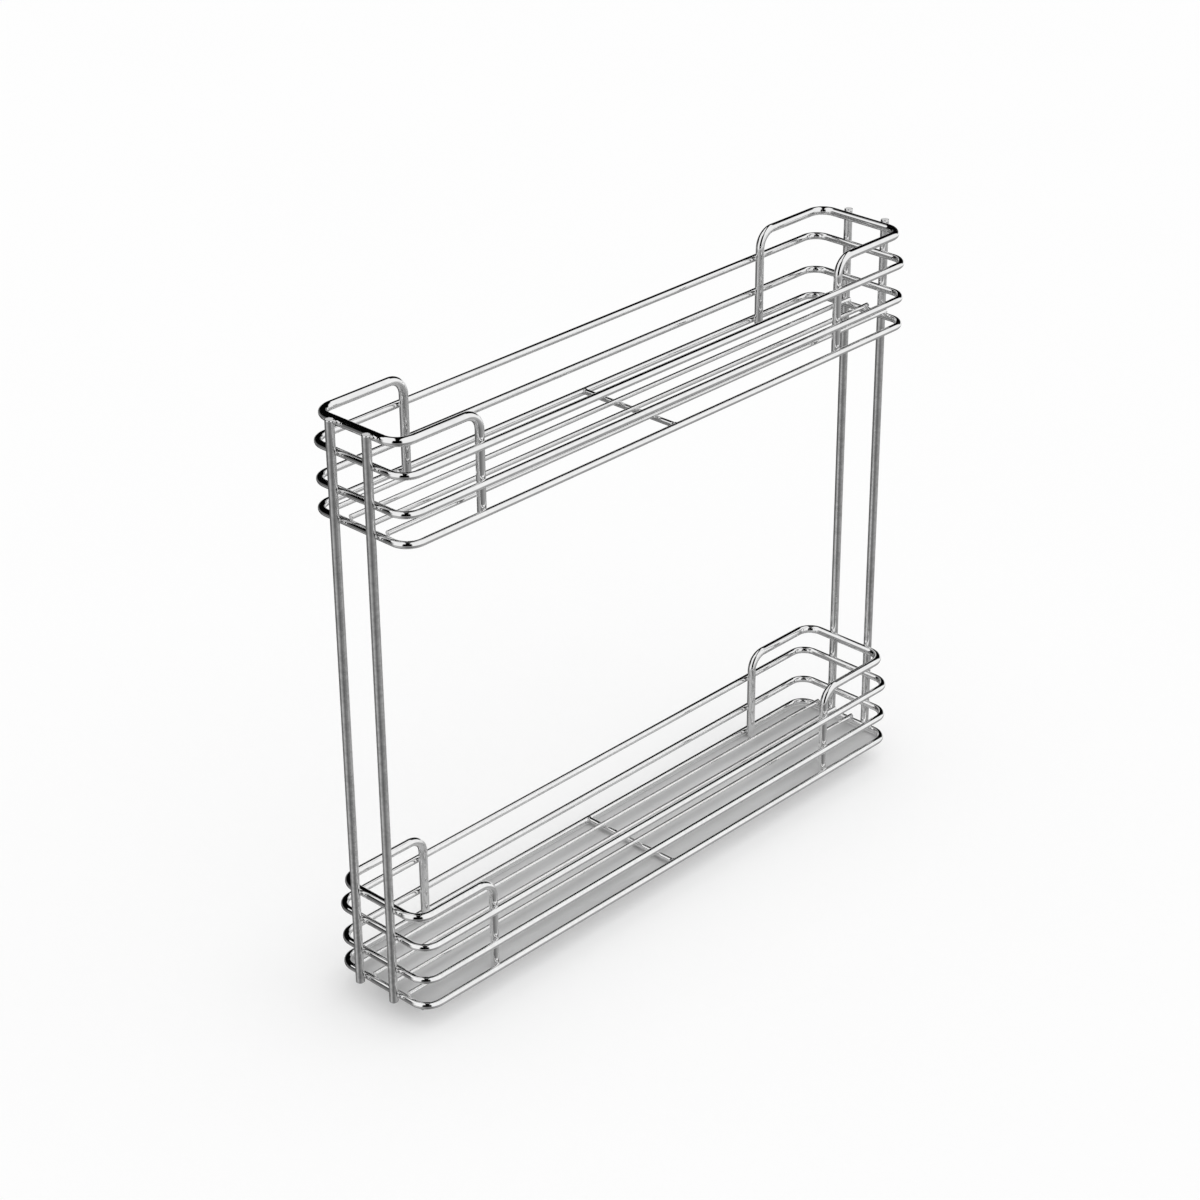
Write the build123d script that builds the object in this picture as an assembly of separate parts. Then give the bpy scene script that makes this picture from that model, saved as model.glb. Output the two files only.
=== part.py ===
from build123d import *
import math
import os

# Pull-out bottle rack for a narrow base cabinet: two welded wire baskets between four uprights,
# carried by a full-extension ball slide that lies flat on the cabinet's floor.
# +X is the way that the rack pulls out and +Y is to the right, seen from the front.
# The origin is at the middle of the cabinet rail's underside. All sizes are in millimetres.

# Rings of both baskets, measured on the centreline of the wire
basket_length = 480.0
basket_width = 84.0
ring_corner_radius = 12.0
ring_wire = 5.0
middle_ring_height = 20.0
top_ring_height = 45.5
tier_spacing = 337.0

# Gap that stands for each weld between two wires
weld_gap = 0.1

# Guards above the rings, one at each end. Their four sides are bent to slightly different lengths.
guard_wire = 6.0
guard_height = 66.0
rear_guard_left = 67.5
rear_guard_right = 72.7
front_guard_left = 69.5
front_guard_right = 66.1
guard_bend_radius = 12.0
guard_foot_gap = 0.1

# Wires in the basket floors
floor_wire = 3.5
floor_wire_pitch = 16.4
floor_wire_count = 4
cross_wire = 4.0

# Uprights
upright_wire = 6.0
upright_spacing = 32.6
upright_chamfer = 0.6

# Base plate and what bolts it to the slide
plate_sheet = 1.5
plate_inset = 1.0
stud = 4.0
stud_spacing = 120.0
stud_count = 4
stud_tip = 0.8
stud_clearance = 0.2
nut_across_flats = 7.0
nut_height = 3.2
nut_thread_gap = 0.1

# Slide
rail_length = 450.0
pull_travel = 450.0
slide_width = 46.0
rail_sheet = 1.2
rail_bend_radius = 0.9
rail_bend_rise = 1.2
rail_lip = 2.0
rail_lip_rise = 2.2
middle_rail_step = 1.6
middle_rail_edge = 0.8
rack_rail_edge = 1.3

# Ball grooves
ball = 4.0
ball_clearance = 0.2
groove_angle = 30.0
groove_half_height = 1.5
groove_bend_radius = 0.8
ball_count = 4
ball_end_margin = 16.0

# Ball cages
cage_sheet = 0.6
cage_bend_radius = 0.8
cage_foot_width = 6.0
cage_foot_gap = 0.4
cage_rise = 2.8
cage_end_gap = 0.5

# Stop lugs that are pressed out of the rails
lug_length = 3.0
lug_height = 2.0
lug_reach = 0.6

# Screws in the cabinet's floor
screw_hole = 4.5
screw_outer_spacing = 384.0
screw_inner_spacing = 128.0
screw_head_height = 1.8
screw_head_gap = 0.2
screw_access_hole = 9.0

# Soft stop at the rear of the cabinet rail
bumper_length = 5.7
bumper_width = 30.0
bumper_gap = 0.3
bumper_peg = 4.0
bumper_peg_gap = 0.1
bumper_edge_radius = 0.8

# Cross-section of the slide, on the centrelines of its sheets
groove_apex = (ball / 2 + ball_clearance + rail_sheet / 2) / math.cos(math.radians(groove_angle))
groove_depth = groove_half_height * math.tan(math.radians(groove_angle))
ball_to_wall = groove_apex - groove_depth
cabinet_wall_y = slide_width / 2 - rail_sheet / 2 - groove_depth
outer_ball_y = cabinet_wall_y - ball_to_wall
middle_wall_y = outer_ball_y - ball_to_wall
inner_ball_y = middle_wall_y - ball_to_wall
rack_wall_y = inner_ball_y - ball_to_wall

cabinet_web_z = rail_sheet / 2
cabinet_web_top = rail_sheet
middle_web_z = cabinet_web_top + screw_head_height + screw_head_gap + rail_sheet / 2
outer_ball_z = middle_web_z + rail_bend_rise + groove_half_height
cabinet_lip_z = outer_ball_z + groove_half_height + rail_lip_rise
inner_ball_z = outer_ball_z + 2 * groove_half_height + middle_rail_step
middle_edge_z = inner_ball_z + groove_half_height + middle_rail_edge
rack_web_z = inner_ball_z + groove_half_height + rail_bend_rise
rack_edge_z = inner_ball_z - groove_half_height - rack_rail_edge
slide_top = rack_web_z + rail_sheet / 2

# Places along the slide
rail_rear = -rail_length / 2
rail_front = rail_length / 2
moving_rear = rail_rear + bumper_length + bumper_gap
middle_travel = pull_travel / 2
cage_rear_at_full_pull = moving_rear + lug_length + middle_travel + cage_end_gap
cage_front_at_full_pull = rail_front - lug_length - cage_end_gap
cage_length = cage_front_at_full_pull - cage_rear_at_full_pull
cage_centre_x = (cage_rear_at_full_pull + cage_front_at_full_pull) / 2 - middle_travel / 2
ball_pitch = (cage_length - 2 * ball_end_margin) / (ball_count - 1)

# Heights of the rack
plate_top = slide_top + plate_sheet
lower_floor_z = plate_top + weld_gap + ring_wire / 2
upper_floor_z = lower_floor_z + tier_spacing

# Places of the wires, measured from the centre of a basket's bottom ring
end_face_x = basket_length / 2 + ring_wire / 2
guard_x = end_face_x - guard_wire / 2
guard_y = basket_width / 2 - ring_wire / 2 - weld_gap - guard_wire / 2
floor_wire_z = ring_wire / 2 + weld_gap + floor_wire / 2
cross_wire_z = ring_wire / 2 - cross_wire / 2
cross_wire_length = basket_width - ring_wire - 2 * weld_gap
upright_x = end_face_x + weld_gap + upright_wire / 2

nodes = {}


def centred(count, pitch):
    """Places in a row with its middle at zero."""
    return [(i - (count - 1) / 2) * pitch for i in range(count)]


def wire(path, diameter):
    """Round wire along a path, with its ends cut square."""
    start = Plane(origin=path @ 0, z_dir=path % 0)
    return sweep(start * Circle(diameter / 2), path=path)


def block(x_range, y_range, z_range):
    """Rectangular solid between three pairs of faces."""
    size = [abs(pair[1] - pair[0]) for pair in (x_range, y_range, z_range)]
    centre = [(pair[0] + pair[1]) / 2 for pair in (x_range, y_range, z_range)]
    return Pos(*centre) * Box(*size)


def upright_pin(x, y, diameter, bottom, top):
    """Cylinder along Z, also used as the cutter of a hole."""
    return Pos(x, y, (bottom + top) / 2) * Cylinder(diameter / 2, top - bottom)


def ring(height):
    """Closed basket ring with rounded corners."""
    outline = RectangleRounded(basket_length, basket_width, ring_corner_radius).wire()
    return wire(Pos(0, 0, height) * outline, ring_wire)


def end_guard(floor_z, end, left_length, right_length):
    """Guard round one end of a basket. Its legs stand inside the long sides of the rings."""
    left_x = end * (guard_x - left_length)
    right_x = end * (guard_x - right_length)
    foot_z = floor_z - ring_wire / 2 + guard_foot_gap
    rail_z = floor_z + guard_height
    path = FilletPolyline(
        (right_x, guard_y, foot_z),
        (right_x, guard_y, rail_z),
        (end * guard_x, guard_y, rail_z),
        (end * guard_x, -guard_y, rail_z),
        (left_x, -guard_y, rail_z),
        (left_x, -guard_y, foot_z),
        radius=guard_bend_radius,
    )
    return wire(path, guard_wire)


def floor_rod(floor_z, y):
    """Lengthwise wire that lies on the end wires of the bottom ring and on the cross wire."""
    middle = Pos(0, y, floor_z + floor_wire_z)
    return middle * Rot(0, 90, 0) * Cylinder(floor_wire / 2, basket_length)


def cross_rod(floor_z):
    """Wire across the middle of the floor, between the long sides of the bottom ring."""
    middle = Pos(0, 0, floor_z + cross_wire_z)
    return middle * Rot(90, 0, 0) * Cylinder(cross_wire / 2, cross_wire_length)


def add_basket(name, floor_z):
    """One complete basket. Its bottom ring lies at the given height."""
    nodes[name + "_bottom_ring"] = ring(floor_z)
    nodes[name + "_middle_ring"] = ring(floor_z + middle_ring_height)
    nodes[name + "_top_ring"] = ring(floor_z + top_ring_height)
    rear = end_guard(floor_z, -1, rear_guard_left, rear_guard_right)
    front = end_guard(floor_z, 1, front_guard_left, front_guard_right)
    nodes[name + "_end_guards"] = Compound([rear.solid(), front.solid()])
    for number, y in enumerate(centred(floor_wire_count, floor_wire_pitch), start=1):
        nodes[f"{name}_floor_wire_{number}"] = floor_rod(floor_z, y)
    nodes[name + "_cross_wire"] = cross_rod(floor_z)


def add_uprights():
    """Four rods, from the underside of the lower basket to the top of the upper guards."""
    bottom = lower_floor_z - ring_wire / 2
    top = upper_floor_z + guard_height + guard_wire / 2
    for end_name, end in (("rear", -1), ("front", 1)):
        for side_name, side in (("left", -1), ("right", 1)):
            rod = upright_pin(end * upright_x, side * upright_spacing / 2, upright_wire, bottom, top)
            rims = rod.edges().filter_by(GeomType.CIRCLE)
            nodes[f"{end_name}_{side_name}_upright"] = chamfer(rims, upright_chamfer)


def add_base_plate():
    """Sheet under the lower basket, with weld studs through the rack rail and their nuts."""
    length = basket_length - 2 * plate_inset
    width = basket_width - 2 * plate_inset
    outline = RectangleRounded(length, width, ring_corner_radius - plate_inset)
    plate = Pos(0, 0, slide_top) * extrude(outline, amount=plate_sheet)
    nut_top = slide_top - rail_sheet
    nut_bottom = nut_top - nut_height
    nuts = []
    for x in centred(stud_count, stud_spacing):
        plate += upright_pin(x, 0, stud, nut_bottom - stud_tip, slide_top + plate_sheet / 2)
        hexagon = RegularPolygon(nut_across_flats / 2, 6, major_radius=False)
        thread = Circle(stud / 2 + nut_thread_gap)
        nut = Pos(x, 0, nut_bottom) * extrude(hexagon - thread, amount=nut_height)
        nuts.append(nut.solid())
    nodes["base_plate"] = plate
    nodes["plate_nuts"] = Compound(nuts)


def groove(wall_y, ball_z, outward):
    """Three corners of a V groove in a rail's wall, from below to above."""
    return [
        (wall_y, ball_z - groove_half_height, groove_bend_radius),
        (wall_y + outward * groove_depth, ball_z, groove_bend_radius),
        (wall_y, ball_z + groove_half_height, groove_bend_radius),
    ]


def folded_rail(half, rear, front):
    """Rail folded from sheet. half is the right-hand centreline: corners with their bend radius."""
    corners = [(-y, z) for y, z, bend in reversed(half)] + [(y, z) for y, z, bend in half]
    bends = [bend for y, z, bend in half[:-1]]
    centreline = FilletPolyline(*corners, radius=bends[::-1] + bends)
    section = trace(centreline, line_width=rail_sheet)
    return Pos(rear, 0, 0) * extrude(Plane.YZ * section, amount=front - rear)


def mirrored_lugs(x_range, y_range, ball_z):
    """Pair of stop lugs in the ball channels of a rail."""
    z_range = (ball_z - lug_height / 2, ball_z + lug_height / 2)
    right = block(x_range, y_range, z_range)
    left = block(x_range, (-y_range[0], -y_range[1]), z_range)
    return [right, left]


def screw_places():
    """Screws along the cabinet rail."""
    return [sign * spacing / 2 for spacing in (screw_outer_spacing, screw_inner_spacing) for sign in (-1, 1)]


def add_rails():
    """Three nested rails. Each moving one passes the bumper by its gap when the rack is in."""
    rear_lugs = (moving_rear, moving_rear + lug_length)
    front_lugs = (rail_front - lug_length, rail_front)

    cabinet = folded_rail(
        [(cabinet_wall_y, cabinet_web_z, rail_bend_radius)]
        + groove(cabinet_wall_y, outer_ball_z, 1)
        + [(cabinet_wall_y, cabinet_lip_z, rail_bend_radius), (cabinet_wall_y - rail_lip, cabinet_lip_z, 0)],
        rail_rear,
        rail_front,
    )
    for x in screw_places():
        cabinet -= upright_pin(x, 0, screw_hole, -rail_sheet, 2 * rail_sheet)
    cabinet -= upright_pin(rail_rear + bumper_length / 2, 0, bumper_peg, -rail_sheet, 2 * rail_sheet)
    cabinet += mirrored_lugs(front_lugs, (outer_ball_y - lug_reach, cabinet_wall_y), outer_ball_z)
    nodes["cabinet_rail"] = cabinet

    middle = folded_rail(
        [(middle_wall_y, middle_web_z, rail_bend_radius)]
        + groove(middle_wall_y, outer_ball_z, -1)
        + groove(middle_wall_y, inner_ball_z, 1)
        + [(middle_wall_y, middle_edge_z, 0)],
        moving_rear,
        rail_front,
    )
    web_range = (middle_web_z - rail_sheet, middle_web_z + rail_sheet)
    for spacing in (screw_outer_spacing, screw_inner_spacing):
        middle -= upright_pin(spacing / 2 - middle_travel, 0, screw_access_hole, *web_range)
    middle += mirrored_lugs(rear_lugs, (middle_wall_y, outer_ball_y + lug_reach), outer_ball_z)
    middle += mirrored_lugs(front_lugs, (inner_ball_y - lug_reach, middle_wall_y), inner_ball_z)
    nodes["middle_rail"] = middle

    rack = folded_rail(
        [(rack_wall_y, rack_web_z, rail_bend_radius)]
        + groove(rack_wall_y, inner_ball_z, -1)[::-1]
        + [(rack_wall_y, rack_edge_z, 0)],
        moving_rear,
        rail_front,
    )
    for x in centred(stud_count, stud_spacing):
        rack -= upright_pin(x, 0, stud + 2 * stud_clearance, rack_web_z - rail_sheet, slide_top + rail_sheet)
    rack += mirrored_lugs(rear_lugs, (rack_wall_y, inner_ball_y + lug_reach), inner_ball_z)
    nodes["rack_rail"] = rack


def add_ball_row(name, ball_y, ball_z, foot_bottom):
    """Balls on both sides of a rail and the two L-shaped cage strips that space them."""
    strips = []
    balls = []
    foot_z = foot_bottom + cage_sheet / 2
    places = [cage_centre_x + x for x in centred(ball_count, ball_pitch)]
    for side in (-1, 1):
        centreline = FilletPolyline(
            (side * (ball_y - cage_foot_width), foot_z),
            (side * ball_y, foot_z),
            (side * ball_y, ball_z + cage_rise),
            radius=cage_bend_radius,
        )
        section = trace(centreline, line_width=cage_sheet)
        strip = Pos(cage_centre_x, 0, 0) * extrude(Plane.YZ * section, amount=cage_length / 2, both=True)
        for x in places:
            seat = Pos(x, side * ball_y, ball_z)
            strip -= seat * Rot(90, 0, 0) * Cylinder(ball / 2 + ball_clearance, 4 * cage_sheet)
            balls.append((seat * Sphere(ball / 2)).solid())
        strips.append(strip.solid())
    nodes[name + "_ball_cages"] = Compound(strips)
    nodes[name + "_balls"] = Compound(balls)


def add_bumper():
    """Soft block with a peg in the cabinet rail's web."""
    x_range = (rail_rear, rail_rear + bumper_length)
    body = block(x_range, (-bumper_width / 2, bumper_width / 2), (cabinet_web_top, inner_ball_z))
    body = fillet(body.edges().filter_by(Axis.X), bumper_edge_radius)
    peg = bumper_peg - 2 * bumper_peg_gap
    body += upright_pin(rail_rear + bumper_length / 2, 0, peg, bumper_peg_gap, cabinet_web_top + peg / 2)
    nodes["rear_bumper"] = body


add_basket("lower_basket", lower_floor_z)
add_basket("upper_basket", upper_floor_z)
add_uprights()
add_base_plate()
add_rails()
add_ball_row("outer", outer_ball_y, outer_ball_z, cabinet_web_top + cage_foot_gap)
add_ball_row("inner", inner_ball_y, inner_ball_z, middle_web_z + rail_sheet / 2 + cage_foot_gap)
add_bumper()

os.makedirs("parts", exist_ok=True)
for node_name, shape in nodes.items():
    export_step(shape, f"parts/{node_name}.step")
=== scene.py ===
"""Looks of the pull-out bottle rack: chromed wires with their welds, sheet parts, the slide and a studio.

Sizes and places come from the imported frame. Lengths are in metres.
"""
import math

import bmesh
import bpy
from mathutils import Matrix, Quaternion, Vector


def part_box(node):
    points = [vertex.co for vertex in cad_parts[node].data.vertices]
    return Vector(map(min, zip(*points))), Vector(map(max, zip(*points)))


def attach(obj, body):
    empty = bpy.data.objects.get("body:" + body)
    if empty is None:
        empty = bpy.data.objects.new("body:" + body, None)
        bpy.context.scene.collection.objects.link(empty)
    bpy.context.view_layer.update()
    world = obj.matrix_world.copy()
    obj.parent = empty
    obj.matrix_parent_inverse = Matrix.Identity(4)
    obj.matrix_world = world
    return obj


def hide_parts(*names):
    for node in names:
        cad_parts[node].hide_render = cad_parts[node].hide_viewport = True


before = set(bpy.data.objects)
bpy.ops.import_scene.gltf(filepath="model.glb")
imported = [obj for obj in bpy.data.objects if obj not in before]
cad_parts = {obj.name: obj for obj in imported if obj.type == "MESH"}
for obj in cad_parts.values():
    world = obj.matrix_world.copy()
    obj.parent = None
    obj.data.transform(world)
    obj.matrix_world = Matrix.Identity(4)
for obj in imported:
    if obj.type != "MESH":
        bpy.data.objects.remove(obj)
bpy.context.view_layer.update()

MM = 0.001
BASKETS = ("lower_basket", "upper_basket")
RINGS = ("bottom_ring", "middle_ring", "top_ring")
FLOOR_PARTS = ("floor_wire_1", "floor_wire_2", "floor_wire_3", "floor_wire_4", "cross_wire")
UPRIGHTS = ("rear_left_upright", "rear_right_upright", "front_left_upright", "front_right_upright")

# Sizes that the frame's boxes don't give
BEND_RADIUS = 12 * MM
END_ROUND = 0.5 * MM
END_FACE_INSET = 1.3 * END_ROUND
SHEET_ROUND = 0.25 * MM

# Lowest share of a guard's wire that is read to find its legs
FOOT_SHARE = 0.1

# Weld metal between crossing wires: reach to the side, depth in the wires, waist and unevenness
WELD_REACH = 1.5 * MM
FLOOR_WELD_REACH = 1.0 * MM
FLOOR_WELD_INSET = 1.0 * MM
WELD_SINK = 0.06 * MM
WELD_NECK = 0.42
WELD_FLARE = 1.03
WELD_PHASE = 1.7
WELD_LUMP = 0.05
WELD_RIPPLE = 0.03
CREST_SHARE = 0.98

# Weld metal round a wire's end: width, overlap with the wire, depth in the ring, length and limit on the ring
COLLAR_HEIGHT = 0.4 * MM
COLLAR_OVERLAP = 0.04 * MM
COLLAR_SINK = 0.05 * MM
COLLAR_LENGTH = 1.4
COLLAR_LIMIT = 0.9

# Mesh fineness
WIRE_SIDES = 28
BEND_STEPS = 14
END_STEPS = 4
BEAD_SIDES = 24
BEAD_ROWS = 6
SHEET_EDGE_STEPS = 3
FLOOR_SIDES = 96

# Limits for cleaning up a sheet's mesh, in metres and degrees
SAME_PLACE = 1e-6
FLAT_ANGLE = 1
SHARP_ANGLE = 50


# Boxes of the frame

def middle(node):
    """Middle of a CAD node's box."""
    low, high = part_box(node)
    return (low + high) / 2


def half_size(node):
    """Half of each side of a CAD node's box."""
    low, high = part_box(node)
    return (high - low) / 2


# Guards and uprights are of wire of the same thickness, and only an upright's box shows it
GUARD_RADIUS = half_size("rear_left_upright").x


# Wires

def bent_path(corners, closed):
    """Points along straight runs that are joined by tangent arcs."""
    corners = [Vector(c) for c in corners]
    points = [] if closed else [corners[0]]
    first = 0 if closed else 1
    last = len(corners) if closed else len(corners) - 1
    support = BEND_RADIUS / BEND_STEPS
    for i in range(first, last):
        corner = corners[i]
        back = (corners[i - 1] - corner).normalized()
        ahead = (corners[(i + 1) % len(corners)] - corner).normalized()
        half_turn = (math.pi - back.angle(ahead)) / 2
        reach = BEND_RADIUS * math.tan(half_turn)
        centre = corner + (back + ahead).normalized() * BEND_RADIUS / math.cos(half_turn)
        start = corner + back * reach
        end = corner + ahead * reach
        axis = (start - centre).cross(end - centre).normalized()
        points.append(start + back * support)
        for step in range(BEND_STEPS + 1):
            turn = Quaternion(axis, 2 * half_turn * step / BEND_STEPS)
            points.append(centre + turn @ (start - centre))
        points.append(end + ahead * support)
    if not closed:
        points.append(corners[-1])
    return points


def rounded_ends(points, radius):
    """Adds the small round at both cut ends of an open wire. Returns its points and their radii."""
    radii = [radius] * len(points)
    for at_end in (False, True):
        tip, inner = (points[-1], points[-2]) if at_end else (points[0], points[1])
        inward = (inner - tip).normalized()
        extra = []
        for step in range(END_STEPS + 1):
            angle = math.pi / 2 * step / END_STEPS
            depth = END_ROUND * (1 - math.sin(angle))
            extra.append((tip + inward * depth, radius - END_ROUND * (1 - math.cos(angle))))
        extra = extra[::-1]
        extra.insert(0, (tip, radius - END_FACE_INSET))
        extra.append((tip + inward * 2 * END_ROUND, radius))
        if at_end:
            points = points[:-1] + [p for p, r in extra[::-1]]
            radii = radii[:-1] + [r for p, r in extra[::-1]]
        else:
            points = [p for p, r in extra] + points[1:]
            radii = [r for p, r in extra] + radii[1:]
    return points, radii


def directions(points, closed):
    """Direction of the wire at each of its points."""
    count = len(points)
    result = []
    for i in range(count):
        before = points[i - 1] if closed or i > 0 else points[0]
        after = points[(i + 1) % count] if closed or i < count - 1 else points[-1]
        if (after - before).length < 1e-9:
            before = points[max(i - 2, 0)]
            after = points[min(i + 2, count - 1)]
        result.append((after - before).normalized())
    return result


def tube_rings(bm, points, radii, closed, uv):
    """Skin of a wire, with its cut ends closed.

    The UV map holds metres round and along the wire. Those round it are taken at its first point, and the
    closing run of a ring counts as one bend radius.
    """
    headings = directions(points, closed)
    start = Vector((0, 0, 1)) if abs(headings[0].z) < 0.9 else Vector((1, 0, 0))
    side = (start - headings[0] * start.dot(headings[0])).normalized()
    rings = []
    travelled = [0.0]
    for i, (point, heading, radius) in enumerate(zip(points, headings, radii)):
        if i:
            side = headings[i - 1].rotation_difference(heading) @ side
            side = (side - heading * side.dot(heading)).normalized()
            travelled.append(travelled[-1] + (point - points[i - 1]).length)
        other = heading.cross(side)
        ring = []
        for k in range(WIRE_SIDES):
            angle = math.tau * k / WIRE_SIDES
            offset = side * math.cos(angle) + other * math.sin(angle)
            ring.append(bm.verts.new(point + offset * radius))
        rings.append(ring)
    pairs = list(range(len(rings) - 1)) + ([-1] if closed else [])
    for i in pairs:
        low, high = rings[i], rings[i + 1]
        along = (travelled[i], travelled[i + 1] if i >= 0 else travelled[-1] + BEND_RADIUS)
        for k in range(WIRE_SIDES):
            n = (k + 1) % WIRE_SIDES
            face = bm.faces.new((low[k], low[n], high[n], high[k]))
            face.smooth = True
            face.material_index = 1 if not closed and i in (0, len(rings) - 2) else 0
            around = [math.tau * radii[0] * j / WIRE_SIDES for j in (k, k + 1, k + 1, k)]
            for loop, u, v in zip(face.loops, around, (along[0], along[0], along[1], along[1])):
                loop[uv].uv = (u, v)
    if not closed:
        for ring, order in ((rings[0], -1), (rings[-1], 1)):
            face = bm.faces.new(ring[::order])
            face.material_index = 1


def add_object(name, data):
    """An object in the scene."""
    made = bpy.data.objects.new(name, data)
    bpy.context.scene.collection.objects.link(made)
    return made


def finish_mesh(name, bm, material, body, replaced=()):
    """Turns a mesh under construction into a piece that rides on a body."""
    bmesh.ops.recalc_face_normals(bm, faces=bm.faces)
    mesh = bpy.data.meshes.new(name)
    bm.to_mesh(mesh)
    bm.free()
    mesh.materials.append(material)
    piece = add_object(name, mesh)
    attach(piece, body)
    if replaced:
        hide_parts(*replaced)
    return piece


def wire_piece(name, paths, radius, closed, material, node):
    """One piece made of one or more wires of the same thickness."""
    bm = bmesh.new()
    uv = bm.loops.layers.uv.new("wire")
    for path in paths:
        if closed:
            tube_rings(bm, path, [radius] * len(path), True, uv)
        else:
            points, radii = rounded_ends(path, radius)
            tube_rings(bm, points, radii, False, uv)
    piece = finish_mesh(name, bm, material, "rack", (node,))
    if not closed:
        piece.data.materials.append(cut_end)
    return piece


def ring_path(node):
    """Centreline of a basket ring."""
    centre, half = middle(node), half_size(node)
    x, y = half.x - half.z, half.y - half.z
    corners = [(sx * x, sy * y, 0) for sx, sy in ((-1, -1), (1, -1), (1, 1), (-1, 1))]
    return bent_path([centre + Vector(c) for c in corners], True)


def leg_places(node, wire_radius):
    """X of the guards' four legs by end and side, read from the lowest points of their feet."""
    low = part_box(node)[0].z
    feet = [v.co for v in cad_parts[node].data.vertices if v.co.z < low + FOOT_SHARE * wire_radius]
    places = {}
    for end in (-1, 1):
        for side in (-1, 1):
            xs = [foot.x for foot in feet if foot.x * end > 0 and foot.y * side > 0]
            places[end, side] = (min(xs) + max(xs)) / 2
    return places


def guard_paths(node, wire_radius):
    """Centrelines of the two end guards of a basket."""
    low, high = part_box(node)
    legs = leg_places(node, wire_radius)
    left, right, rail = low.y + wire_radius, high.y - wire_radius, high.z - wire_radius
    paths = []
    for end, x in ((-1, low.x + wire_radius), (1, high.x - wire_radius)):
        corners = [
            (legs[end, 1], right, low.z), (legs[end, 1], right, rail), (x, right, rail),
            (x, left, rail), (legs[end, -1], left, rail), (legs[end, -1], left, low.z),
        ]
        paths.append(bent_path(corners, False))
    return paths


def straight_path(node):
    """Ends of a straight wire, and its radius. It lies along the longest side of its box."""
    centre, half = middle(node), half_size(node)
    axis = max(range(3), key=lambda k: half[k])
    reach = Vector((0, 0, 0))
    reach[axis] = half[axis]
    return [centre - reach, centre + reach], min(half)


# Welds

def bead_edge(radius, distance):
    """How far a round wire falls away from its crest, at a distance to the side of it."""
    return radius - math.sqrt(radius ** 2 - min(abs(distance), CREST_SHARE * radius) ** 2)


def skin_rows(bm, rows):
    """Smooth skin over rows of corners, closed at both ends."""
    for low, high in zip(rows, rows[1:]):
        for k in range(BEAD_SIDES):
            n = (k + 1) % BEAD_SIDES
            bm.faces.new((low[k], low[n], high[n], high[k])).smooth = True
    bm.faces.new(rows[0][::-1])
    bm.faces.new(rows[-1])


def add_bead(bm, spot, normal, gap, first, second, reach, phase):
    """Weld metal between two crossing wires.

    first and second are the (axis, radius, offset) of the wires below and above the spot.
    """
    normal = Vector(normal).normalized()
    ex = normal.orthogonal().normalized()
    ey = normal.cross(ex)
    rows = []
    for row in range(BEAD_ROWS + 1):
        share = row / BEAD_ROWS
        ring = []
        for k in range(BEAD_SIDES):
            angle = math.tau * k / BEAD_SIDES
            rough = 1 + WELD_LUMP * math.sin(3 * angle + phase) + WELD_RIPPLE * math.sin(5 * angle - 2 * phase)
            outer = (ex * math.cos(angle) + ey * math.sin(angle)) * reach * rough
            heights = []
            for axis, radius, offset in (first, second):
                across = normal.cross(Vector(axis))
                heights.append(bead_edge(radius, outer.dot(across) - offset))
            opening = gap + heights[0] + heights[1]
            neck = 1 - WELD_NECK * math.sin(math.pi * share) * opening / (2 * reach)
            sunk = WELD_SINK if row in (0, BEAD_ROWS) else 0
            bottom = -gap / 2 - heights[0]
            level = bottom + opening * share + (sunk if row else -sunk)
            flare = WELD_FLARE if row in (0, BEAD_ROWS) else 1.0
            ring.append(bm.verts.new(Vector(spot) + outer * neck * flare + normal * level))
        rows.append(ring)
    skin_rows(bm, rows)


def add_collar(bm, end, inward, wire_radius, ring_radius, ring_drop, height):
    """Weld metal round the end of a wire that butts against the side of a ring."""
    inward = Vector(inward).normalized()
    up = Vector((0, 0, 1))
    across = inward.cross(up)
    rows = []
    for row in range(BEAD_ROWS + 1):
        share = row / BEAD_ROWS
        ring = []
        for k in range(BEAD_SIDES):
            angle = math.tau * k / BEAD_SIDES
            grow = height * (1 - share) ** 2
            radial = wire_radius - COLLAR_OVERLAP + grow
            lift = radial * math.sin(angle)
            level = min(max(lift + ring_drop, -COLLAR_LIMIT * ring_radius), COLLAR_LIMIT * ring_radius)
            face = bead_edge(ring_radius, level)
            depth = -face - COLLAR_SINK + (face + COLLAR_LENGTH * height) * share
            ring.append(bm.verts.new(end + inward * depth + across * radial * math.cos(angle) + up * lift))
        rows.append(ring)
    skin_rows(bm, rows)


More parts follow.
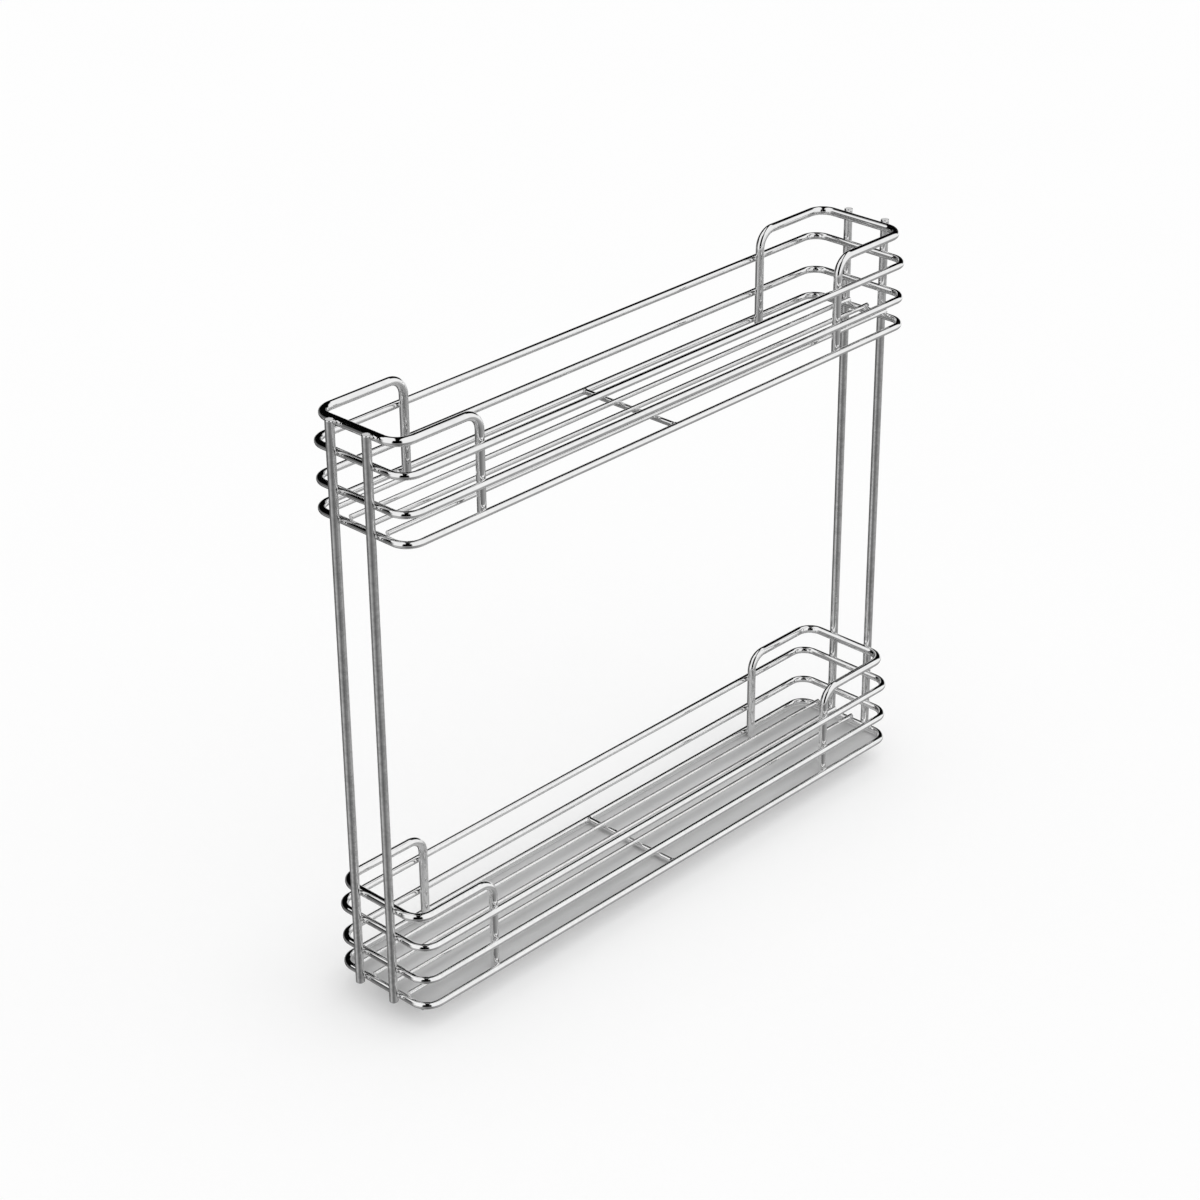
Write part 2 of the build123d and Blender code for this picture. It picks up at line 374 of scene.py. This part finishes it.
def add_welds(basket, material):
    """Weld metal between the wires of one basket, and between them and the uprights."""
    bm = bmesh.new()
    x_axis, y_axis, z_axis = (1, 0, 0), (0, 1, 0), (0, 0, 1)
    bottom = basket + "_bottom_ring"
    ring_half, floor_z = half_size(bottom), middle(bottom).z
    ring_radius = ring_half.z
    ring_x, ring_y = ring_half.x - ring_radius, ring_half.y - ring_radius
    heights = [middle(f"{basket}_{name}").z for name in RINGS]
    guards = basket + "_end_guards"
    guard_half = half_size(guards)
    guard_x, guard_y = guard_half.x - GUARD_RADIUS, guard_half.y - GUARD_RADIUS
    legs = leg_places(guards, GUARD_RADIUS)
    rail_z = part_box(guards)[1].z - GUARD_RADIUS
    phase = 0.0

    for name in UPRIGHTS:
        place, radius = middle(name), half_size(name).x
        end = math.copysign(1, place.x)
        contact = end * (abs(place.x) - radius)
        levels = [(z, ring_radius, ring_x) for z in heights] + [(rail_z, GUARD_RADIUS, guard_x)]
        for z, wire_radius, wire_x in levels:
            gap = abs(contact) - wire_x - wire_radius
            spot = Vector((contact - end * gap / 2, place.y, z))
            phase += WELD_PHASE
            wires = (y_axis, wire_radius, 0), (z_axis, radius, 0)
            add_bead(bm, spot, (end, 0, 0), gap, *wires, WELD_REACH, phase)

    for sx in (-1, 1):
        for sy in (-1, 1):
            for z in heights:
                gap = ring_y - ring_radius - guard_y - GUARD_RADIUS
                spot = Vector((legs[sx, sy], sy * (guard_y + GUARD_RADIUS + gap / 2), z))
                phase += WELD_PHASE
                wires = (z_axis, GUARD_RADIUS, 0), (x_axis, ring_radius, 0)
                add_bead(bm, spot, (0, sy, 0), gap, *wires, WELD_REACH, phase)

    cross = basket + "_cross_wire"
    cross_centre, cross_half = middle(cross), half_size(cross)
    cross_radius = cross_half.z
    for part in FLOOR_PARTS[:-1]:
        rod = f"{basket}_{part}"
        rod_centre, rod_half = middle(rod), half_size(rod)
        rod_radius = rod_half.z
        under = rod_centre.z - rod_radius
        for end in (-1, 1):
            gap = under - floor_z - ring_radius
            spot = Vector((end * (ring_x - FLOOR_WELD_INSET), rod_centre.y, under - gap / 2))
            phase += WELD_PHASE
            wires = (y_axis, ring_radius, -end * FLOOR_WELD_INSET), (x_axis, rod_radius, 0)
            add_bead(bm, spot, z_axis, gap, *wires, FLOOR_WELD_REACH, phase)
        gap = under - cross_centre.z - cross_radius
        spot = Vector((cross_centre.x, rod_centre.y, under - gap / 2))
        phase += WELD_PHASE
        wires = (y_axis, cross_radius, 0), (x_axis, rod_radius, 0)
        add_bead(bm, spot, z_axis, gap, *wires, FLOOR_WELD_REACH, phase)

    for side in (-1, 1):
        end = Vector((cross_centre.x, side * cross_half.y, cross_centre.z))
        drop = cross_centre.z - floor_z
        add_collar(bm, end, (0, -side, 0), cross_radius, ring_radius, drop, COLLAR_HEIGHT)

    return finish_mesh(basket + "_weld_beads", bm, material, "rack")


# Sheet parts

def rounded_copy(name, node, material, body, width):
    """A CAD sheet part with its sharp edges rounded, in the node's place."""
    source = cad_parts[node]
    bm = bmesh.new()
    bm.from_mesh(source.data)
    bmesh.ops.remove_doubles(bm, verts=bm.verts, dist=SAME_PLACE)
    bmesh.ops.dissolve_limit(bm, angle_limit=math.radians(FLAT_ANGLE), verts=bm.verts, edges=bm.edges)
    for face in bm.faces:
        face.smooth = True
    piece = finish_mesh(name, bm, material, body, (node,))
    bevel = piece.modifiers.new("edges", "BEVEL")
    bevel.width = width
    bevel.segments = SHEET_EDGE_STEPS
    bevel.limit_method = "ANGLE"
    bevel.angle_limit = math.radians(SHARP_ANGLE)
    bevel.harden_normals = False
    bevel.use_clamp_overlap = True
    normals = piece.modifiers.new("normals", "WEIGHTED_NORMAL")
    normals.keep_sharp = True
    return piece


# Materials

class Graph:
    """Short calls that add shader nodes to one tree."""

    def __init__(self, tree):
        self.tree = tree
        tree.nodes.clear()

    def node(self, kind, **settings):
        made = self.tree.nodes.new(kind)
        for key, value in settings.items():
            setattr(made, key, value)
        return made

    def feed(self, socket, value):
        if isinstance(value, bpy.types.NodeSocket):
            self.tree.links.new(value, socket)
        elif value is not None:
            socket.default_value = value

    def maths(self, operation, first, second=None):
        made = self.node("ShaderNodeMath", operation=operation)
        for socket, value in zip(made.inputs, (first, second)):
            self.feed(socket, value)
        return made.outputs[0]

    def dot(self, vector, direction):
        made = self.node("ShaderNodeVectorMath", operation="DOT_PRODUCT")
        self.feed(made.inputs[0], vector)
        self.feed(made.inputs[1], direction)
        return made.outputs["Value"]

    def step(self, value, low, high):
        """Smooth step from 0 at low to 1 at high."""
        made = self.node("ShaderNodeMapRange", interpolation_type="SMOOTHSTEP")
        self.feed(made.inputs["Value"], value)
        self.feed(made.inputs["From Min"], low)
        self.feed(made.inputs["From Max"], high)
        return made.outputs["Result"]

    def scaled(self, value, low, high):
        """Spreads a 0 to 1 value over a range."""
        made = self.node("ShaderNodeMapRange")
        self.feed(made.inputs["Value"], value)
        self.feed(made.inputs["To Min"], low)
        self.feed(made.inputs["To Max"], high)
        return made.outputs["Result"]

    def mix(self, share, first, second):
        made = self.node("ShaderNodeMix", data_type="RGBA")
        self.feed(made.inputs[0], share)
        self.feed(made.inputs[6], first)
        self.feed(made.inputs[7], second)
        return made.outputs[2]

    def ramp(self, value, stops):
        """Colours at places from 0 to 1, with smooth steps between them."""
        made = self.node("ShaderNodeValToRGB")
        made.color_ramp.interpolation = "EASE"
        while len(made.color_ramp.elements) < len(stops):
            made.color_ramp.elements.new(0.5)
        for element, (place, colour) in zip(made.color_ramp.elements, stops):
            element.position = place
            element.color = colour
        self.feed(made.inputs[0], value)
        return made.outputs[0]

    def stretched(self, coordinates, scale):
        made = self.node("ShaderNodeMapping")
        self.feed(made.inputs["Vector"], coordinates)
        made.inputs["Scale"].default_value = scale
        return made.outputs["Vector"]

    def noise(self, vector, scale, detail, roughness=0.5):
        made = self.node("ShaderNodeTexNoise")
        self.feed(made.inputs["Vector"], vector)
        made.inputs["Scale"].default_value = scale
        made.inputs["Detail"].default_value = detail
        made.inputs["Roughness"].default_value = roughness
        return made.outputs["Fac"]

    def bump(self, height, distance, strength, normal=None):
        made = self.node("ShaderNodeBump")
        self.feed(made.inputs["Height"], height)
        made.inputs["Distance"].default_value = distance
        made.inputs["Strength"].default_value = strength
        self.feed(made.inputs["Normal"], normal)
        return made.outputs["Normal"]

    def background(self, colour, strength=1.0):
        made = self.node("ShaderNodeBackground")
        self.feed(made.inputs["Color"], colour)
        made.inputs["Strength"].default_value = strength
        return made.outputs[0]

    def blend(self, share, first, second):
        """One shader at share 0, the other at share 1."""
        made = self.node("ShaderNodeMixShader")
        for socket, value in zip(made.inputs, (share, first, second)):
            self.feed(socket, value)
        return made.outputs[0]

    def finish(self, kind, shader):
        output = self.node(kind)
        self.feed(output.inputs["Surface"], shader)


def grey(level):
    """A neutral colour from a display value between 0 and 255."""
    share = level / 255
    linear = share / 12.92 if share <= 0.04045 else ((share + 0.055) / 1.055) ** 2.4
    return (linear, linear, linear, 1)


def new_material(name):
    """A material, its graph and the place on the object that its noises read."""
    material = bpy.data.materials.new(name)
    material.use_nodes = True
    graph = Graph(material.node_tree)
    return material, graph, graph.node("ShaderNodeTexCoord").outputs["Object"]


def surface(graph, colour, metallic, roughness, normal=None, **settings):
    """Principled shader to the output. Settings are constants of its other sockets."""
    shader = graph.node("ShaderNodeBsdfPrincipled")
    graph.feed(shader.inputs["Base Color"], colour)
    shader.inputs["Metallic"].default_value = metallic
    graph.feed(shader.inputs["Roughness"], roughness)
    graph.feed(shader.inputs["Normal"], normal)
    for name, value in settings.items():
        shader.inputs[name.replace("_", " ")].default_value = value
    graph.finish("ShaderNodeOutputMaterial", shader.outputs[0])


def chrome(name, level, roughness_low, roughness_high, mottling):
    """Bright chrome on drawn wire: faint draw lines, soft waves and a little haze."""
    material, graph, position = new_material(name)
    lines = graph.node("ShaderNodeUVMap", uv_map="wire").outputs["UV"]
    haze = graph.noise(position, scale=60, detail=4)
    smudge = graph.noise(position, scale=350, detail=3)
    drawn = graph.noise(graph.stretched(lines, (2600, 18, 1)), scale=1, detail=3)
    amount = graph.maths("MULTIPLY", graph.maths("ADD", haze, smudge), 0.5)
    colour = graph.mix(graph.step(amount, 0.4, 0.62), grey(level), grey(level - mottling))
    roughness = graph.scaled(graph.step(amount, 0.35, 0.65), roughness_low, roughness_high)
    wave = graph.noise(position, scale=28, detail=1)
    normal = graph.bump(wave, distance=0.12 * MM, strength=0.3)
    normal = graph.bump(drawn, distance=0.0015 * MM, strength=0.4, normal=normal)
    surface(graph, colour, metallic=1.0, roughness=roughness, normal=normal)
    return material


def weld_chrome(name):
    """Chrome over weld metal, a little duller and uneven."""
    material, graph, position = new_material(name)
    lumps = graph.noise(position, scale=900, detail=3)
    fine = graph.noise(position, scale=5200, detail=2)
    colour = graph.mix(graph.step(lumps, 0.3, 0.7), grey(236), grey(222))
    roughness = graph.scaled(fine, 0.08, 0.16)
    normal = graph.bump(lumps, distance=0.1 * MM, strength=0.4)
    surface(graph, colour, metallic=1.0, roughness=roughness, normal=normal)
    return material


def ground_end(name):
    """Dull ground end of a cut wire."""
    material, graph, position = new_material(name)
    marks = graph.noise(graph.stretched(position, (2200, 300, 300)), scale=1, detail=3)
    colour = graph.mix(graph.step(marks, 0.35, 0.7), grey(238), grey(224))
    roughness = graph.scaled(marks, 0.4, 0.55)
    normal = graph.bump(marks, distance=0.01 * MM, strength=0.4)
    surface(graph, colour, metallic=0.3, roughness=roughness, normal=normal)
    return material


def painted_sheet(name, level):
    """Satin grey powder coat: fine orange peel, slight mottling and dust."""
    material, graph, position = new_material(name)
    mottle = graph.noise(position, scale=14, detail=4)
    speck = graph.noise(position, scale=1500, detail=2)
    peel = graph.noise(position, scale=620, detail=3, roughness=0.6)
    colour = graph.mix(graph.step(mottle, 0.3, 0.7), grey(level - 4), grey(level + 4))
    colour = graph.mix(graph.step(speck, 0.62, 0.75), colour, grey(level + 14))
    roughness = graph.scaled(mottle, 0.34, 0.46)
    normal = graph.bump(peel, distance=0.035 * MM, strength=0.5)
    surface(graph, colour, metallic=0.0, roughness=roughness, normal=normal)
    return material


def rolled_steel(name, level, roughness_low, roughness_high, tint=(1, 1, 1)):
    """Plated or plain strip, with rolling lines along X and cloudy plating."""
    material, graph, position = new_material(name)
    rolled = graph.noise(graph.stretched(position, (12, 2600, 2600)), scale=1, detail=4, roughness=0.6)
    cloud = graph.noise(position, scale=55, detail=4)
    spots = graph.noise(position, scale=420, detail=3)
    bright, dark = grey(level + 8), grey(level - 10)
    bright = tuple(c * t for c, t in zip(bright, tint)) + (1,)
    dark = tuple(c * t for c, t in zip(dark, tint)) + (1,)
    colour = graph.mix(graph.step(cloud, 0.3, 0.7), dark, bright)
    amount = graph.maths("ADD", graph.maths("MULTIPLY", rolled, 0.6), graph.maths("MULTIPLY", spots, 0.4))
    roughness = graph.scaled(amount, roughness_low, roughness_high)
    normal = graph.bump(rolled, distance=0.004 * MM, strength=0.6)
    surface(graph, colour, metallic=0.85, roughness=roughness, normal=normal)
    return material


def polished_ball(name):
    """Bearing steel with a film of grease."""
    material, graph, position = new_material(name)
    film = graph.noise(position, scale=700, detail=3)
    colour = graph.mix(graph.step(film, 0.35, 0.65), grey(228), grey(214))
    roughness = graph.scaled(film, 0.05, 0.2)
    surface(graph, colour, metallic=1.0, roughness=roughness, Coat_Weight=0.3, Coat_Roughness=0.1)
    return material


def matt_rubber(name):
    """Black moulded rubber with a fine grain and a bloom."""
    material, graph, position = new_material(name)
    grain = graph.noise(position, scale=2200, detail=3)
    bloom = graph.noise(position, scale=130, detail=4)
    colour = graph.mix(graph.step(bloom, 0.35, 0.75), grey(34), grey(52))
    roughness = graph.scaled(bloom, 0.55, 0.8)
    normal = graph.bump(grain, distance=0.05 * MM, strength=0.5)
    surface(graph, colour, metallic=0.0, roughness=roughness, normal=normal)
    return material


# Studio

# Angles are in degrees and levels are display values up to 255
WORLD_LIGHT = 0.72
SUN_LIGHT = 0.28
SUN_WIDTH = 70
SUN_AZIMUTH = -60
SUN_ELEVATION = 70
FLOOR_RADIUS = 30.0
FLOOR_GLOW = 0.3
FLOOR_COLOURS = (0.985, 0.985, 0.985, 1), (0.993, 0.993, 0.993, 1)

# Camera of the photograph: place in metres, turns in radians, lens and sensor in millimetres
CAMERA_PLACE = (-1.2758, -1.1887, 1.1327)
CAMERA_YAW, CAMERA_PITCH, CAMERA_ROLL = 0.7617, 0.4854, -0.0082
CAMERA_LENS = 86.595
SENSOR_WIDTH = 36
CAMERA_REACH = 100

# What polished metal sees: dark regions, each with two limits and how far their soft edges reach to either side
FAR_WALL = {"azimuth": (-10, 143, 4), "elevation": (-16, 55, 2)}
NEAR_WALL = {"azimuth": (-161, -115, 4), "elevation": (-14, 50, 4)}
SIDE_WALL = {"azimuth": (120, 152, 9), "elevation": (-24, 22, 9)}
WALL_LEVEL = 4
SIDE_LEVEL = 118
DOME_LEVEL = 251

# The far wall is paler at its foot, and as pale as the dome there at small azimuths
FOOT_LEVEL = 105
FOOT_FADE = (-3, 9)
FOOT_AZIMUTH = (55, 70)

# The far wall sinks steadily past one azimuth, and by a few degrees towards small ones
FALL_AZIMUTH = 105
FALL_RATE = 0.9
DROP = 5
DROP_AZIMUTH = (58, 25)

# Dark strip that runs overhead towards one azimuth, with its half width as a sine
STRIP_AZIMUTH = 43
STRIP_HALF_WIDTH = 0.13
STRIP_SOFTNESS = 0.03
STRIP_ELEVATION = (42, 48)
WHITE = (1, 1, 1, 1)

# Studio floor: where it meets the dome, and its levels by azimuth
HORIZON_FADE = (-24, -9)
GROUND_LEVELS = (
    (-180, 166), (-160, 136), (-140, 108), (-120, 114), (-90, 142), (-60, 150), (-50, 172), (-35, 158),
    (0, 150), (45, 140), (60, 60), (100, 60), (118, 168), (155, 184), (180, 166),
)


def aim(azimuth, elevation):
    """Unit vector towards an azimuth and elevation in degrees."""
    a, e = math.radians(azimuth), math.radians(elevation)
    return Vector((math.cos(a) * math.cos(e), math.sin(a) * math.cos(e), math.sin(e)))


def band(graph, value, low, high, soft):
    """Mask that is 1 between two values, with soft edges."""
    rise = graph.step(value, low - soft, low + soft)
    fall = graph.step(value, high + soft, high - soft)
    return graph.maths("MULTIPLY", rise, fall)


def wall(graph, azimuth, elevation, region):
    """Mask of one dark region of the studio."""
    across = band(graph, azimuth, *region["azimuth"])
    return graph.maths("MULTIPLY", across, band(graph, elevation, *region["elevation"]))


def make_world():
    """White dome over a grey floor with dark walls, for glossy rays. Everything else gets even white light."""
    world = bpy.data.worlds.new("studio")
    bpy.context.scene.world = world
    world.use_nodes = True
    graph = Graph(world.node_tree)
    direction = graph.node("ShaderNodeTexCoord").outputs["Generated"]
    parts = graph.node("ShaderNodeSeparateXYZ")
    graph.feed(parts.inputs[0], direction)
    x, y, z = parts.outputs
    turn = graph.maths("ARCTAN2", y, x)
    azimuth = graph.maths("MULTIPLY", turn, 180 / math.pi)
    elevation = graph.maths("MULTIPLY", graph.maths("ARCSINE", z), 180 / math.pi)
    share = graph.maths("ADD", graph.maths("DIVIDE", turn, math.tau), 0.5)
    ground = graph.ramp(share, [((a + 180) / 360, grey(level)) for a, level in GROUND_LEVELS])
    studio = graph.mix(graph.step(elevation, *HORIZON_FADE), ground, grey(DOME_LEVEL))
    studio = graph.mix(wall(graph, azimuth, elevation, SIDE_WALL), studio, grey(SIDE_LEVEL))
    foot = graph.mix(graph.step(azimuth, *FOOT_AZIMUTH), grey(DOME_LEVEL), grey(FOOT_LEVEL))
    dark = graph.mix(graph.step(elevation, *FOOT_FADE), foot, grey(WALL_LEVEL))
    past = graph.maths("SUBTRACT", azimuth, FALL_AZIMUTH)
    fall = graph.maths("MAXIMUM", graph.maths("MULTIPLY", past, FALL_RATE), 0)
    drop = graph.maths("MULTIPLY", graph.step(azimuth, *DROP_AZIMUTH), DROP)
    lowered = graph.maths("ADD", elevation, graph.maths("ADD", fall, drop))
    studio = graph.mix(wall(graph, azimuth, lowered, FAR_WALL), studio, dark)
    studio = graph.mix(wall(graph, azimuth, elevation, NEAR_WALL), studio, grey(WALL_LEVEL))
    off = graph.dot(direction, aim(STRIP_AZIMUTH + 90, 0))
    across = band(graph, off, -STRIP_HALF_WIDTH, STRIP_HALF_WIDTH, STRIP_SOFTNESS)
    strip = graph.maths("MULTIPLY", across, graph.step(elevation, *STRIP_ELEVATION))
    studio = graph.mix(strip, studio, grey(WALL_LEVEL))
    rays = graph.node("ShaderNodeLightPath").outputs
    light = graph.background(WHITE, WORLD_LIGHT)
    lit = graph.blend(rays["Is Glossy Ray"], light, graph.background(studio))
    shown = graph.blend(rays["Is Camera Ray"], lit, graph.background(WHITE))
    graph.finish("ShaderNodeOutputWorld", shown)


def make_floor():
    """Plain pale floor, which keeps a soft shadow. Metal sees the studio's grey floor instead."""
    material, graph, position = new_material("floor")
    colour = graph.mix(graph.noise(position, scale=3, detail=2), *FLOOR_COLOURS)
    shader = graph.node("ShaderNodeBsdfDiffuse")
    graph.feed(shader.inputs["Color"], colour)
    plain = graph.node("ShaderNodeEmission")
    graph.feed(plain.inputs["Color"], colour)
    camera_ray = graph.node("ShaderNodeLightPath").outputs["Is Camera Ray"]
    glow = graph.maths("MULTIPLY", camera_ray, FLOOR_GLOW)
    graph.finish("ShaderNodeOutputMaterial", graph.blend(glow, shader.outputs[0], plain.outputs[0]))
    bm = bmesh.new()
    bmesh.ops.create_circle(bm, cap_ends=True, segments=FLOOR_SIDES, radius=FLOOR_RADIUS)
    mesh = bpy.data.meshes.new("floor")
    bm.to_mesh(mesh)
    bm.free()
    mesh.materials.append(material)
    floor = add_object("floor", mesh)
    floor.visible_glossy = False


def make_sun():
    """Broad soft light from above. With the world's light it lights the floor at a plain level."""
    light = bpy.data.lights.new("overhead", "SUN")
    light.energy = SUN_LIGHT * math.pi / math.sin(math.radians(SUN_ELEVATION))
    light.angle = math.radians(SUN_WIDTH)
    lamp = add_object("overhead", light)
    lamp.location = aim(SUN_AZIMUTH, SUN_ELEVATION)
    lamp.rotation_euler = lamp.location.to_track_quat("Z", "Y").to_euler()
    lamp.visible_glossy = False


def make_camera():
    """Camera at the photograph's place, fitted to the wires that it shows."""
    yaw, pitch, roll = CAMERA_YAW, CAMERA_PITCH, CAMERA_ROLL
    forward = Vector((math.cos(yaw) * math.cos(pitch), math.sin(yaw) * math.cos(pitch), -math.sin(pitch)))
    right = Vector((math.sin(yaw), -math.cos(yaw), 0))
    up = right.cross(forward)
    turned_right = math.cos(roll) * right + math.sin(roll) * up
    turned_up = -math.sin(roll) * right + math.cos(roll) * up
    data = bpy.data.cameras.new("camera")
    data.sensor_width = SENSOR_WIDTH
    data.lens = CAMERA_LENS
    data.clip_end = CAMERA_REACH
    camera = add_object("camera", data)
    axes = Matrix((turned_right, turned_up, -forward)).transposed().to_4x4()
    camera.matrix_world = Matrix.Translation(CAMERA_PLACE) @ axes
    bpy.context.scene.camera = camera


# Pieces

ZINC_TINT = (0.985, 0.995, 1.0)
chrome_wire = chrome("chrome_wire", level=245, roughness_low=0.02, roughness_high=0.06, mottling=7)
chrome_upright = chrome("chrome_upright", level=247, roughness_low=0.05, roughness_high=0.12, mottling=26)
chrome_weld = weld_chrome("chrome_weld")
cut_end = ground_end("cut_end")
plate_paint = painted_sheet("plate_paint", level=216)
zinc_steel = rolled_steel("zinc_steel", level=214, roughness_low=0.28, roughness_high=0.46, tint=ZINC_TINT)
cage_steel = rolled_steel("cage_steel", level=182, roughness_low=0.3, roughness_high=0.5)
ball_steel = polished_ball("ball_steel")
bumper_rubber = matt_rubber("bumper_rubber")

for basket in BASKETS:
    for ring in RINGS:
        node = f"{basket}_{ring}"
        wire_piece(node + "_wire", [ring_path(node)], half_size(node).z, True, chrome_wire, node)
    node = basket + "_end_guards"
    paths = guard_paths(node, GUARD_RADIUS)
    wire_piece(node + "_wire", paths, GUARD_RADIUS, False, chrome_wire, node)
    for part in FLOOR_PARTS:
        node = f"{basket}_{part}"
        path, radius = straight_path(node)
        wire_piece(node + "_rod", [path], radius, False, chrome_wire, node)
    add_welds(basket, chrome_weld)

for node in UPRIGHTS:
    path, radius = straight_path(node)
    wire_piece(node + "_rod", [path], radius, False, chrome_upright, node)

rounded_copy("base_plate_sheet", "base_plate", plate_paint, "rack", SHEET_ROUND)

CARRIED = {
    "plate_nuts": zinc_steel, "cabinet_rail": zinc_steel, "middle_rail": zinc_steel, "rack_rail": zinc_steel,
    "outer_ball_cages": cage_steel, "inner_ball_cages": cage_steel,
    "outer_balls": ball_steel, "inner_balls": ball_steel, "rear_bumper": bumper_rubber,
}
for node, material in CARRIED.items():
    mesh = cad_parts[node].data
    mesh.materials.clear()
    mesh.materials.append(material)

make_world()
make_floor()
make_sun()
make_camera()
bpy.context.scene.view_settings.view_transform = "Standard"
